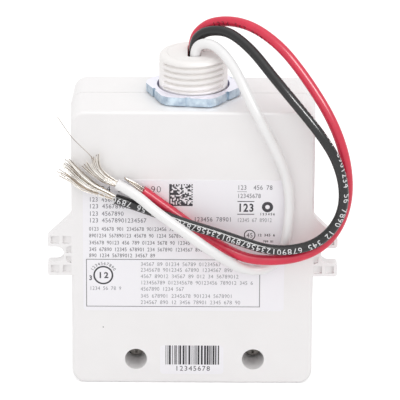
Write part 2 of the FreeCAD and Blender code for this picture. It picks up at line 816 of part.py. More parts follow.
def make_main_board():
    board = box(-board_x, board_x, board_y, board_top_y, board_z[0], board_z[1])
    board = board.makeFillet(1.5, edges_along(board, 1))
    tongue = box(-tongue_x, tongue_x, board_y, board_top_y, tongue_z, board_z[0] + 1)
    board = joined([board, tongue])
    for x, z in post_places():
        board = board.cut(rod_y(x, z, pin_radius + fit_gap, board_y - 1, board_top_y + 1))
    for x in lead_pad_x.values():
        board = board.cut(rod_y(across(x), lead_pad_z, tail_radius + tail_gap, board_y - 1, board_top_y + 1))
    for x, z in header_places():
        board = board.cut(pin_square(x, z, header_hole_half, board_y - 1, board_top_y + 1))
    return board


def header_places():
    return [(across(header_x) + header_pitch * column, along(header_z) + header_pitch * row)
            for column in range(header_columns) for row in range(header_rows)]


def pin_square(x, z, half, y0, y1):
    """A square prism along Y about a header pin's line."""
    return box(x - half, x + half, y0, y1, z - half, z + half)


def make_radio_board():
    low_x, high_x = [across(x) for x in radio_board_x]
    board = box(low_x, high_x, radio_y, radio_top_y, radio_board_z[0], radio_board_z[1])
    board = board.makeFillet(1.0, edges_along(board, 1))
    for x, z in radio_post_places():
        board = board.cut(rod_y(x, z, pin_radius + fit_gap, radio_y - 1, radio_top_y + 1))
    for x, z in header_places():
        board = board.cut(pin_square(x, z, header_hole_half, radio_y - 1, radio_top_y + 1))
    return board


def make_header_pins():
    low, high = board_y - header_pin_reach[0], radio_top_y + header_pin_reach[1]
    return group([pin_square(x, z, header_pin_half, low, high) for x, z in header_places()])


def make_board_header():
    places = header_places()
    half = header_pitch / 2
    xs, zs = [p[0] for p in places], [p[1] for p in places]
    body = box(min(xs) - half, max(xs) + half, board_top_y, radio_y, min(zs) - half, max(zs) + half)
    for x, z in places:
        body = body.cut(pin_square(x, z, header_bore_half, board_top_y - 1, radio_y + 1))
    return body


def on_board(x0, x1, z0, z1, height, edge=0.0):
    """A block that stands on the main board's component side, at its real place."""
    top = board_top_y + above(height)
    body = box(x0, x1, board_top_y, top, z0, z1)
    return body.makeFillet(edge, edges_at_y(body, top)) if edge else body


def on_radio(xs, zs, height):
    """A block that stands on the radio board's button side."""
    return box(across(xs[0]), across(xs[1]), radio_top_y, radio_top_y + height, radio_at(zs[0]), radio_at(zs[1]))


def make_board_block(name):
    xs, zs, height, edge = board_blocks[name]
    return on_board(across(xs[0]), across(xs[1]), along(zs[0]), along(zs[1]), height, edge)


def make_microcontroller():
    low = max(z for _, z in header_places()) + controller_above_header
    return box(across(controller_x[0]), across(controller_x[1]), radio_top_y, radio_top_y + controller_height,
               low, low + controller_length)


def make_varistor():
    """A disc on edge, on two wires."""
    y = board_top_y + varistor_lift + varistor_radius
    x0, x1 = [across(x) for x in varistor_x]
    disc = rod_x(y, along(varistor_z), varistor_radius, x0, x1)
    disc = disc.makeFillet(varistor_edge, [e for e in disc.Edges if len(e.Vertexes) == 1])
    legs = [rod_y((x0 + x1) / 2, along(z), leg_radius, board_top_y, y - varistor_radius / 2)
            for z in varistor_leg_z]
    return joined([disc] + legs)


def standing_can(x, z, radius, height):
    """A round body on the main board, with its top edge rounded."""
    top = board_top_y + above(height)
    can = rod_y(across(x), along(z), radius, board_top_y, top)
    return can.makeFillet(part_edge, edges_at_y(can, top))


def make_fuse():
    return standing_can(fuse_place[0], fuse_place[1], fuse_radius, fuse_height)


def make_bulk_capacitors():
    high_z, low_z = capacitor_z
    radius = (along(high_z) - along(low_z) - capacitor_gap) / 2
    return group([standing_can(capacitor_x, z, radius, capacitor_height) for z in capacitor_z])


def make_line_choke():
    """A wound ring that lies on a round base."""
    x, z = across(choke_place[0]), along(choke_place[1])
    ring_radius, wire_radius = choke_radii
    ring = Part.makeTorus(ring_radius, wire_radius, V(x, board_top_y + choke_base_height + wire_radius * 0.8, z),
                          V(0, 1, 0))
    base = rod_y(x, z, choke_base_radius, board_top_y, board_top_y + choke_base_height)
    return joined([base, ring])


def core_window():
    """The two depths between which the core's windows and its coil lie."""
    return board_top_y + core_foot, board_top_y + above(core_height) - core_foot


def core_box():
    """The core's two sides and two ends."""
    return across(core_x[0]), across(core_x[1]), along(core_z[0]), along(core_z[1])


def make_transformer_core():
    left, right, z0, z1 = core_box()
    frame = on_board(left, right, z0, z1, core_height)
    low, high = core_window()
    middle = (left + right) / 2
    window = box(left + core_wall, right - core_wall, low, high, z0 - 1, z1 + 1)
    limb = box(middle - core_limb_half, middle + core_limb_half, low, high, z0, z1)
    return joined([frame.cut(window), limb])


def make_transformer_coil():
    """The winding and its bobbin, round the middle limb of the core."""
    low, high = core_window()
    low, high = low + coil_gap, high - coil_gap
    left, right, z0, z1 = core_box()
    middle = (left + right) / 2
    x0, x1 = left + core_wall + coil_gap, right - core_wall - coil_gap
    coil = block_y(x0, x1, low, high, z0 - coil_overhang, z1 + coil_overhang, coil_corner)
    half = core_limb_half + coil_gap
    return coil.cut(box(middle - half, middle + half, low - 1, high + 1, z0 - coil_gap, z1 + coil_gap))


def make_switching_triac():
    x0, x1 = [across(x) for x in triac_x]
    z0, z1 = [along(z) for z in triac_z]
    middle, tab_end = (x0 + x1) / 2, along(triac_tab_end)
    body = on_board(x0, x1, z0, z1, triac_height, triac_edge)
    tab = on_board(x0, x1, z1, tab_end, triac_tab_height)
    hole = rod_y(middle, (z1 + tab_end) / 2, triac_hole_radius, board_top_y - 1, board_top_y + triac_height)
    legs = []
    for k in (-1, 0, 1):
        x = middle + k * triac_leg_pitch
        legs.append(on_board(x - triac_leg_half, x + triac_leg_half, along(triac_leg_start), z0, triac_leg_height))
    return joined([body, tab.cut(hole)] + legs)


def make_chip(name):
    x, z, half_x, half_z, height = board_chips[name]
    middle = along(z)
    return on_board(across(x - half_x), across(x + half_x), middle - half_z, middle + half_z, height, chip_edge)


def make_chip_pins():
    """The gull-wing pins along both long sides of the three chips."""
    pins = []
    for name, (x, z, half_x, half_z, height) in board_chips.items():
        count = round(2 * half_x / chip_pin_pitch[name])
        for k in range(count):
            middle = across(x + (k - (count - 1) / 2) * 2 * half_x / count)
            for side in (-1, 1):
                z0, z1 = sorted((along(z) + side * half_z, along(z) + side * (half_z + chip_pin_reach)))
                pins.append(on_board(middle - chip_pin_half, middle + chip_pin_half, z0, z1,
                                     height * chip_pin_height))
    return group(pins)


def make_radio_shield():
    """A folded metal can over the radio chip."""
    can = on_radio(shield_x, shield_z, shield_height)
    left, right = across(shield_x[0]) + shield_sheet, across(shield_x[1]) - shield_sheet
    hollow = box(left, right, radio_top_y - 1, radio_top_y + shield_height - shield_sheet,
                 radio_at(shield_z[0]) + shield_sheet, radio_at(shield_z[1]) - shield_sheet)
    return can.cut(hollow)


def make_antenna():
    """A bent wire that stands off the radio board and runs along it."""
    x, low_z, high_z = across(antenna_x), radio_at(antenna_z[0]), radio_at(antenna_z[1])
    start = V(x, radio_top_y, low_z)
    corner = V(x, radio_top_y + antenna_rise, low_z)
    end = V(x, radio_top_y + antenna_rise, high_z)
    before = corner - V(0, antenna_bend, 0)
    after = corner + V(0, 0, antenna_bend)
    near = antenna_bend * (1 - math.sqrt(0.5))
    path = Part.Wire([
        Part.LineSegment(start, before).toShape(),
        Part.Arc(before, corner + V(0, -near, near), after).toShape(),
        Part.LineSegment(after, end).toShape(),
    ])
    return tube(path, antenna_radius, start, V(0, 1, 0))


def make_status_led():
    half_x, half_z = led_half
    return box(light_x - half_x, light_x + half_x, radio_top_y, radio_top_y + led_height,
               light_z - half_z, light_z + half_z)


def make_light_pipe():
    """A clear rod with a flanged foot behind the front wall."""
    wider, thick = light_foot
    rod = rod_y(light_x, light_z, light_radius, radio_top_y + led_height + led_gap, button_y - panel_depth)
    flange = rod_y(light_x, light_z, light_radius + wider, inner_button_y - thick, inner_button_y)
    return joined([rod, flange])


def terminal_poles():
    return (-terminal_pitch / 2, terminal_pitch / 2)


def make_terminal_block():
    """A two-pole block whose wire entries and release slots open at the bottom end."""
    low, high = board_top_y, board_top_y + terminal_height
    z0, z1 = terminal_sunk, terminal_sunk + terminal_length
    body = box(-terminal_half_x, terminal_half_x, low, high, z0, z1)
    well_half = clamp_half_x + clamp_wall
    for x in terminal_poles():
        y = low + wire_entry_y
        slot_y = low + release_slot_up
        body = body.cut(rod_z(x, y, wire_entry_radius, z0 - 1, z0 + wire_entry_depth))
        body = body.cut(Part.makeCone(wire_entry_radius + funnel_rim, wire_entry_radius, funnel_depth,
                                      V(x, y, z0), V(0, 0, 1)))
        body = body.cut(box(x - release_slot_x / 2, x + release_slot_x / 2, slot_y, slot_y + release_slot_y,
                            z0 - 1, z0 + wire_entry_depth))
        body = body.cut(box(x - well_half, x + well_half, low - 1, low + clamp_height + 0.1,
                            z0 + clamp_z[0] - 0.1, z0 + clamp_z[1] + 0.1))
    return body


def make_terminal_clamps():
    """The spring clamps in the block's two wells: a foot on the board and a blade across the wire entry."""
    clamps = []
    for x in terminal_poles():
        low = board_top_y
        z0, z1 = terminal_sunk + clamp_z[0], terminal_sunk + clamp_z[1]
        foot = box(x - clamp_half_x, x + clamp_half_x, low, low + clamp_sheet, z0, z1)
        blade = box(x - clamp_half_x, x + clamp_half_x, low, low + clamp_height, z1 - clamp_sheet, z1)
        clamps.append(joined([foot, blade]))
    return group(clamps)


def tube(path, radius, start, direction):
    """A round tube along a wire that leaves start in the given direction."""
    ring = Part.Wire([Part.Circle(start, direction, radius).toShape()])
    return path.makePipeShell([ring], True, False)


def lead_tube(name, route):
    """A lead's tube: straight runs joined by arcs that each use 0.45 of the shorter run beside them."""
    points = [V(*p) for p in route]
    pieces, radii = [], []
    last = points[0]
    for before, corner, after in zip(points, points[1:], points[2:]):
        ahead, onward = corner - before, after - corner
        cut = 0.45 * min(ahead.Length, onward.Length)
        ahead.normalize()
        onward.normalize()
        half_turn = ahead.getAngle(onward) / 2
        radius = cut / math.tan(half_turn)
        radii.append(radius)
        start, end = corner - ahead * cut, corner + onward * cut
        inward = (onward - ahead).normalize()
        middle = corner + inward * (radius / math.cos(half_turn) - radius)
        pieces.append(Part.LineSegment(last, start).toShape())
        pieces.append(Part.Arc(start, middle, end).toShape())
        last = end
    pieces.append(Part.LineSegment(last, points[-1]).toShape())
    path = Part.Wire(pieces)
    shape = tube(path, lead_diameter / 2, points[0], points[1] - points[0])
    area = math.pi * lead_diameter ** 2 / 4
    print(f"{name}: {path.Length:.1f} mm long, volume over section times length "
          f"{shape.Volume / area / path.Length:.4f}, bend radii", [round(r, 1) for r in radii])
    return shape


def inner_route(color):
    """From the lead's start in the plug, down the bore and across to its pad on the main board."""
    x, y, z = lead_routes[color][0]
    pad = across(lead_pad_x[color])
    upper = [
        (x, y, z),
        (x, y, inner_drop_z),
        inner_bend[color],
        (pad, inner_low_y, inner_low_z[0]),
        (pad, inner_low_y, inner_low_z[1]),
    ]
    turn_y = placed((pad, inner_turn_y, inner_low_z[1]))[1]
    return [placed(point) for point in upper] + [
        (pad, turn_y, lead_pad_z),
        (pad, board_top_y + tail_reach[1], lead_pad_z),
    ]


def make_strands(color):
    """The bundle of bare strands as one closed solid, lofted through its sections."""
    sections = strand_sections[color]
    middles = [V(*placed(section[0])) for section in sections]
    directions = [V(*placed(lead_routes[color][-1])) - V(*placed(lead_routes[color][-2]))]
    directions += [after - before for before, after in zip(middles, middles[2:])]
    directions.append(middles[-1] - middles[-2])
    wires = []
    for (_, half_width, half_depth), middle, ahead in zip(sections, middles, directions):
        across = ahead.cross(V(0, 1, 0)).normalize()
        deep = ahead.cross(across).normalize()
        ellipse = Part.Ellipse(middle + across * half_width, middle + deep * half_depth, middle)
        wires.append(Part.Wire([ellipse.toShape()]))
    return Part.makeLoft(wires, True, False)


def make_lead_tails():
    """The tinned end of each lead, through the board, with its solder cone."""
    tails = []
    base, rise = solder_cone
    for x in [across(pad) for pad in lead_pad_x.values()]:
        wire = rod_y(x, lead_pad_z, tail_radius, board_y - tail_reach[0], board_top_y + tail_reach[1])
        cone = Part.makeCone(base, tail_radius, rise, V(x, board_top_y, lead_pad_z), V(0, 1, 0))
        tails.append(joined([wire, cone]))
    return group(tails)


def main():
    os.makedirs("parts", exist_ok=True)
    save("rear_case", make_rear_case())
    save("front_case", make_front_case())
    save("threaded_nipple", make_nipple())
    save("wire_plug", make_plug())
    save("locknut", make_locknut())
    save("case_screws", make_case_screws())
    save("main_label", make_label(main_label_x, main_label_z))
    save("serial_label", make_label(serial_label_x, serial_label_z))
    save("insulating_sheet", make_insulating_sheet())
    save("main_board", make_main_board())
    save("radio_board", make_radio_board())
    save("board_header", make_board_header())
    save("header_pins", make_header_pins())
    for name, z in button_z.items():
        save(f"{name}_button", make_button(z))
        save(f"{name}_plunger", make_plunger(z))
    save("tact_switches", make_tact_switches())
    for name in board_blocks:
        save(name, make_board_block(name))
    save("radio_chip", on_radio(radio_chip_x, radio_chip_z, radio_chip_height))
    save("microcontroller", make_microcontroller())
    for name in board_chips:
        save(name, make_chip(name))
    save("chip_pins", make_chip_pins())
    save("status_led", make_status_led())
    save("varistor", make_varistor())
    save("fuse", make_fuse())
    save("line_choke", make_line_choke())
    save("bulk_capacitors", make_bulk_capacitors())
    save("transformer_core", make_transformer_core())
    save("transformer_coil", make_transformer_coil())
    save("switching_triac", make_switching_triac())
    save("radio_shield", make_radio_shield())
    save("antenna", make_antenna())
    save("light_pipe", make_light_pipe())
    save("terminal_block", make_terminal_block())
    save("terminal_clamps", make_terminal_clamps())
    for color, route in lead_routes.items():
        save(f"{color}_lead", lead_tube(f"{color}_lead", [placed(point) for point in route]))
        save(f"{color}_lead_inside", lead_tube(f"{color}_lead_inside", inner_route(color)))
        save(f"{color}_strands", make_strands(color))
    save("lead_tails", make_lead_tails())


main()
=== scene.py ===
import json
import math
import random

import bmesh
import bpy
from mathutils import Matrix, Vector


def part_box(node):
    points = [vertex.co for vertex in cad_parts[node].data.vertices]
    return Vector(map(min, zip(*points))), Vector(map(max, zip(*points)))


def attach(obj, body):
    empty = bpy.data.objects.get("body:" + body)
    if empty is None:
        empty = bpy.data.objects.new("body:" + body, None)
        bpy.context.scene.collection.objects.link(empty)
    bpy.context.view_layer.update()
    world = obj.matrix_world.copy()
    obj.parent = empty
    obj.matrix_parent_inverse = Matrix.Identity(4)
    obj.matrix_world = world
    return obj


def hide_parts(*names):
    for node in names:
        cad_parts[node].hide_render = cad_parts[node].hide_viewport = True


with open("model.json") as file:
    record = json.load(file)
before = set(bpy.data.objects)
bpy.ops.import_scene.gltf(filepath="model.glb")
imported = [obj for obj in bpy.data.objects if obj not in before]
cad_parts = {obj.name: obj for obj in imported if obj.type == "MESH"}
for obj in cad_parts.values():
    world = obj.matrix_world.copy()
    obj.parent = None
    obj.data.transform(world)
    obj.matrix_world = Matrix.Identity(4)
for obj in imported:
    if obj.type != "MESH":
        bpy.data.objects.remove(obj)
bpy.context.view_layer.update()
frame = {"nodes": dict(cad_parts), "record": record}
nodes = frame["nodes"]

# Sizes and places are in millimetres, and those of the lamps and the floor in metres
MM = 0.001
LABEL_FILM_Y = -15.87
LABEL_FACE_Y = -15.75
PANEL_Y = 15.35
PRINT_LIFT = 0.015
LEAD_RADIUS = 1.55

# Camera, fitted to the photograph: its angles are elevation, yaw and roll in degrees
CAMERA_TARGET = (2.214, 0.0, 54.391)
CAMERA_DISTANCE = 1185.98
CAMERA_LENS = 348.5
CAMERA_SENSOR = 36
CAMERA_ANGLES = (21.958, -0.070, 0.318)

# Lamps, backdrop and floor
BROAD_LAMPS = {
    "key": {"place": (-0.2, -1.7, 0.8), "size": 2.4, "power": 6.0},
    "top": {"place": (0.1, -0.1, 1.5), "size": 1.8, "power": 4.2},
}
BROAD_LAMP_AIM = (0, 0, 0.05)
GLINT_PLACES = ((0.9, -1.0, 0.9), (0.65, -1.0, 1.15), (0.35, -1.0, 1.35))
GLINT_AIM = (0.02, 0, 0.08)
GLINT_SIZE = 0.3
GLINT_POWER = 13.0
WHITE = (1, 1, 1, 1)
SURROUND_STRENGTH = 0.89
BACKDROP_STRENGTH = 1.0
FLOOR_HALF = 12.0
FLOOR_COLOR = (0.8, 0.8, 0.8, 1)
FLOOR_GLOW = 0.4

# Leads: the same route points as in the part's source
LEAD_ROUTES = {
    "black": (
        (0.1, 1.6, 101.2), (0.1, 1.6, 104.9), (2.1, 1.0, 108.0), (5.8, -0.7, 109.8), (10.2, -2.9, 110.1),
        (14.1, -6.1, 108.6), (18.4, -9.7, 105.6), (22.9, -14.0, 101.1), (27.8, -18.6, 96.4),
        (32.8, -21.8, 91.2), (38.2, -23.4, 84.7), (42.8, -23.5, 77.2), (45.4, -23.5, 68.2),
        (45.0, -23.5, 60.1), (41.6, -23.4, 53.6), (36.4, -23.4, 49.3), (29.4, -23.3, 47.5),
        (22.3, -22.9, 47.6), (14.4, -22.2, 50.0), (6.1, -21.6, 52.8), (-1.7, -21.3, 55.1),
        (-9.2, -21.1, 58.0), (-16.9, -19.5, 60.3), (-23.3, -18.5, 62.1),
    ),
    "red": (
        (0.0, 5.0, 101.2), (0.0, 5.0, 104.7), (1.8, 4.7, 107.9), (5.5, 3.3, 110.9), (10.9, 0.7, 112.3),
        (16.1, -2.9, 112.4), (21.3, -6.6, 110.8), (27.0, -10.5, 107.1), (32.0, -13.8, 101.7),
        (36.9, -17.2, 95.4), (41.2, -19.2, 88.4), (44.4, -19.9, 80.7), (46.4, -20.0, 72.2),
        (46.7, -20.0, 63.5), (44.9, -20.1, 55.8), (41.5, -20.8, 50.2), (36.7, -21.4, 46.4),
        (30.2, -21.9, 44.2), (23.0, -21.9, 43.6), (16.2, -21.1, 43.9), (9.6, -19.2, 46.4),
        (3.2, -18.1, 50.3), (-3.3, -17.8, 55.5), (-9.3, -17.8, 60.1), (-15.0, -17.8, 64.5),
    ),
    "white": (
        (0.5, -1.8, 101.2), (0.5, -1.8, 104.1), (2.4, -2.5, 106.2), (5.3, -4.2, 106.6), (7.9, -6.3, 105.6),
        (10.3, -9.4, 103.8), (12.8, -12.7, 101.0), (15.4, -16.9, 96.8), (18.5, -20.1, 91.0),
        (22.1, -20.3, 83.9), (25.6, -19.7, 76.7), (28.3, -18.5, 69.1), (29.3, -17.9, 61.7),
        (29.0, -17.9, 54.9), (28.3, -17.9, 48.3), (26.5, -17.9, 42.4), (21.9, -18.4, 39.0),
        (16.0, -20.5, 39.9), (11.0, -23.2, 43.5), (5.3, -24.6, 47.9), (-0.5, -24.8, 52.4),
        (-5.8, -24.8, 56.5), (-11.6, -23.9, 60.6), (-17.4, -20.8, 64.8), (-22.6, -18.4, 66.7),
    ),
}

# Print on the leads: at each distance along a lead, turn says how far round from the viewer's side it sits
LEAD_PRINT_PITCH = 1.58
LEAD_PRINTS = {
    "black": {
        "start": 34.0, "height": 1.9, "groups": (4, 3, 6, 4, 7, 2, 4, 2, 3, 25, 4, 2, 4, 2),
        "turn": ((34, 2.7), (60, 2.5), (68, 1.9), (76, 1.05), (90, 0.74), (130, 0.68), (159, 0.46)),
    },
    "red": {
        "start": 12.5, "height": 1.7, "groups": (4, 3, 5),
        "turn": ((12.5, -0.75), (17, -0.95), (22, -1.35), (30, -2.1), (40, -2.8)),
    },
}

# Bare strands: each bundle fans out between two edges, given as x and z; every so many wires is a darker
# one, painted shade for the gaps between wires
STRAND_FANS = {
    "black": {
        "upper": ((-22.9, 62.9), (-25.1, 64.4), (-27.4, 65.7), (-29.7, 67.2), (-31.6, 69.0), (-33.7, 71.0),
                  (-35.3, 72.7), (-36.7, 74.5), (-37.6, 75.8)),
        "lower": ((-23.5, 61.5), (-26.5, 62.4), (-29.8, 63.6), (-32.1, 64.3), (-33.7, 65.0), (-35.1, 65.9),
                  (-36.5, 67.2), (-37.9, 68.4), (-40.9, 69.8)),
        "middle": -18.4, "half_depth": 0.8, "count": 44, "shaded_every": 3, "reach": (0.86, 1.03), "seed": 5,
    },
    "red": {
        "upper": ((-14.6, 65.2), (-16.6, 66.6), (-18.5, 67.6), (-20.6, 68.75)),
        "lower": ((-15.4, 63.9), (-17.0, 65.2), (-18.7, 66.9), (-20.7, 68.6)),
        "middle": -17.9, "half_depth": 0.5, "count": 11, "shaded_every": 2, "reach": (0.9, 1.0), "seed": 8,
    },
    "white": {
        "upper": ((-22.2, 67.4), (-25.0, 69.1), (-26.9, 70.7), (-28.0, 72.5), (-28.3, 74.8), (-27.8, 77.6)),
        "lower": ((-22.9, 66.0), (-26.3, 66.9), (-28.3, 68.2), (-30.2, 69.7), (-32.1, 71.2), (-33.7, 72.8)),
        "middle": -18.4, "half_depth": 0.8, "count": 32, "shaded_every": 4, "reach": (0.82, 1.02), "seed": 11,
    },
}
STRAND_RADIUS = 0.11
STRAND_STEPS = 9
STRAND_JITTER = 0.4
STRAND_DRIFT = 0.35
STRAND_RIPPLE = 0.012
STRAND_RIPPLE_TURN = 6

# One thin strand of the white lead stands off from the others
STRAY_STRAND = (
    (-28.8, -18.4, 73.4), (-30.7, -18.4, 76.0), (-32.9, -18.6, 78.3), (-35.9, -18.8, 81.5),
    (-37.2, -18.6, 83.2), (-39.2, -18.3, 86.2), (-40.5, -18.3, 88.3),
)
STRAY_THINNING = 0.8

# Print on the main label: where lines of digits start, and each line's foot and right end
TEXT_LEFT = -31.4
SHORT_ROWS = ((60.1, -19.0), (57.9, -19.5), (55.5, -20.8), (53.3, -13.9))
WIDE_ROWS = ((50.6, 0.5), (48.4, -1.2), (46.1, 0.8), (43.9, 3.9), (41.9, -11.3))
NOTE_LEFT = -15.8
NOTE_ROWS = (
    (39.1, 8.7), (37.2, 12.2), (35.1, 14.1), (33.0, 18.5), (30.9, -2.5), (28.6, 12.3), (26.5, 14.7),
)
RING_PLACE = (-27.1, 36.0)
CORNER_LEFT = 13.4
BIG_DIGITS_LEFT = 13.5
BIG_DIGITS_RIGHT = 18.6

# Digits: a glyph's width for its height, and how much of its pitch it may fill
DIGIT_WIDTH = 0.66
DIGIT_FILL = 0.86

# Random print: the seed and word lengths of the text, the bars of the stripes, and the share of dark cells
TEXT_SEED = 4
WORD_LENGTHS = (2, 3, 3, 4, 5, 6, 7, 8, 9)
STRIPE_WIDTHS = (0.2, 0.2, 0.4, 0.6)
STRIPE_GAPS = (0.2, 0.2, 0.4)
CELL_SHARE = 0.5

# Marks beside the buttons, and the fleck on the label face
BUTTON_MARK_ASIDE = 9.5
BAR_HALF_WIDTH = 0.2
BAR_HALF_HEIGHT = 1.2
FLECK_PLACE = (-27.2, 18.7)
FLECK_RADIUS = 0.2

# Finishes: how broad and fine noise becomes tone, roughness and relief
TONE_STOPS = (0.34, 0.66)
NOISE_RANGE = (0.3, 0.7)
ROUGHNESS_SWING = 0.12
BROAD_DETAIL = 4.0
FINE_DETAIL = 2.0
RELIEF_STRENGTH = 0.5

# Locknut: its axis, where painted shade in the bore's chamfer starts, and how far a face turns to +Z before
# a painted highlight
NUT_AXIS = (0.0, 1.05, 0.0)
NUT_BORE_SHADE_EDGE = 10.95
NUT_BORE_SHADE_BLEND = 0.15
NUT_PAINTED_HIGHLIGHT_RANGE = (0.3, 0.95)


def mm(point):
    return Vector(point) * MM


def srgb(red, green, blue):
    """A colour given as it looks on a screen, 0 to 255, as the linear values that a shader takes."""
    linear = []
    for value in (red, green, blue):
        share = value / 255
        linear.append(share / 12.92 if share <= 0.04045 else ((share + 0.055) / 1.055) ** 2.4)
    return (*linear, 1.0)


def shade(color, factor):
    return (*[min(1.0, channel * factor) for channel in color[:3]], 1.0)


def noise(tree, size, detail, stretch):
    """A noise of that size in millimetres, fixed to the object."""
    place = tree.nodes.new("ShaderNodeTexCoord")
    mapping = tree.nodes.new("ShaderNodeMapping")
    mapping.inputs["Scale"].default_value = stretch
    texture = tree.nodes.new("ShaderNodeTexNoise")
    texture.inputs["Scale"].default_value = 1 / (size * MM)
    texture.inputs["Detail"].default_value = detail
    tree.links.new(place.outputs["Object"], mapping.inputs["Vector"])
    tree.links.new(mapping.outputs["Vector"], texture.inputs["Vector"])
    return texture.outputs["Fac"]


def ramp(tree, value, colors):
    """The value as a colour between two."""
    node = tree.nodes.new("ShaderNodeValToRGB")
    for element, position, color in zip(node.color_ramp.elements, TONE_STOPS, colors):
        element.position = position
        element.color = color
    tree.links.new(value, node.inputs["Fac"])
    return node.outputs["Color"]


def spread(tree, value, low, high):
    """The middle of a noise's range, stretched to run from low to high."""
    node = tree.nodes.new("ShaderNodeMapRange")
    node.inputs["From Min"].default_value = NOISE_RANGE[0]
    node.inputs["From Max"].default_value = NOISE_RANGE[1]
    node.inputs["To Min"].default_value = low
    node.inputs["To Max"].default_value = high
    tree.links.new(value, node.inputs["Value"])
    return node.outputs["Result"]


def finish(name, color, roughness, mottle, patch, grain, depth, metallic=0.0, coat=0.0, stretch=(1, 1, 1),
           second=None, transmission=0.0):
    """A material whose tone, roughness and surface all vary a little, as a real finish does.

    Its tone varies by the share mottle, in patches. Its roughness and relief vary with a finer grain.
    """
    made = bpy.data.materials.new(name)
    made.use_nodes = True
    tree = made.node_tree
    shader = tree.nodes["Principled BSDF"]
    shader.inputs["Metallic"].default_value = metallic
    shader.inputs["Coat Weight"].default_value = coat
    shader.inputs["Transmission Weight"].default_value = transmission
    broad = noise(tree, patch, BROAD_DETAIL, stretch)
    tones = (shade(color, 1 - mottle), second or shade(color, 1 + mottle))
    tree.links.new(ramp(tree, broad, tones), shader.inputs["Base Color"])
    fine = noise(tree, grain, FINE_DETAIL, stretch)
    smoothest = roughness * (1 - ROUGHNESS_SWING)
    roughest = min(1.0, roughness * (1 + ROUGHNESS_SWING))
    tree.links.new(spread(tree, fine, smoothest, roughest), shader.inputs["Roughness"])
    bump = tree.nodes.new("ShaderNodeBump")
    bump.inputs["Strength"].default_value = RELIEF_STRENGTH
    bump.inputs["Distance"].default_value = depth * MM
    tree.links.new(fine, bump.inputs["Height"])
    tree.links.new(bump.outputs["Normal"], shader.inputs["Normal"])
    return made


def blend(tree, value, low, high, under, over):
    """One colour where the value is low and another where it is high. Either may come from a node."""
    share = tree.nodes.new("ShaderNodeMapRange")
    share.inputs["From Min"].default_value = low
    share.inputs["From Max"].default_value = high
    tree.links.new(value, share.inputs["Value"])
    mix = tree.nodes.new("ShaderNodeMix")
    mix.data_type = "RGBA"
    tree.links.new(share.outputs["Result"], mix.inputs["Factor"])
    for socket, color in (("A", under), ("B", over)):
        if isinstance(color, tuple):
            mix.inputs[socket].default_value = color
        else:
            tree.links.new(color, mix.inputs[socket])
    return mix.outputs["Result"]


def paint_nut_highlight_and_shade(material, painted_top_highlight, painted_bore_shade):
    """Painted light on the locknut: a painted highlight pales the faces along +Z, and painted shade darkens
    the chamfer of the bore.
    """
    tree = material.node_tree
    shader = tree.nodes["Principled BSDF"]
    side = shader.inputs["Base Color"].links[0].from_socket
    place = tree.nodes.new("ShaderNodeTexCoord")
    facing = tree.nodes.new("ShaderNodeSeparateXYZ")
    tree.links.new(place.outputs["Normal"], facing.inputs["Vector"])
    flat = tree.nodes.new("ShaderNodeVectorMath")
    flat.operation = "MULTIPLY"
    flat.inputs[1].default_value = (1, 1, 0)
    tree.links.new(place.outputs["Object"], flat.inputs[0])
    reach = tree.nodes.new("ShaderNodeVectorMath")
    reach.operation = "DISTANCE"
    reach.inputs[1].default_value = mm(NUT_AXIS)
    tree.links.new(flat.outputs["Vector"], reach.inputs[0])
    # Faces turned to +Z take the painted highlight, and the bore's chamfer takes painted shade
    sides_with_painted_highlight = blend(tree, facing.outputs["Z"], *NUT_PAINTED_HIGHLIGHT_RANGE, side, painted_top_highlight)
    inner, outer = NUT_BORE_SHADE_EDGE * MM, (NUT_BORE_SHADE_EDGE + NUT_BORE_SHADE_BLEND) * MM
    with_painted_bore_shade = blend(tree, reach.outputs["Value"], inner, outer, painted_bore_shade, sides_with_painted_highlight)
    tree.links.new(with_painted_bore_shade, shader.inputs["Base Color"])


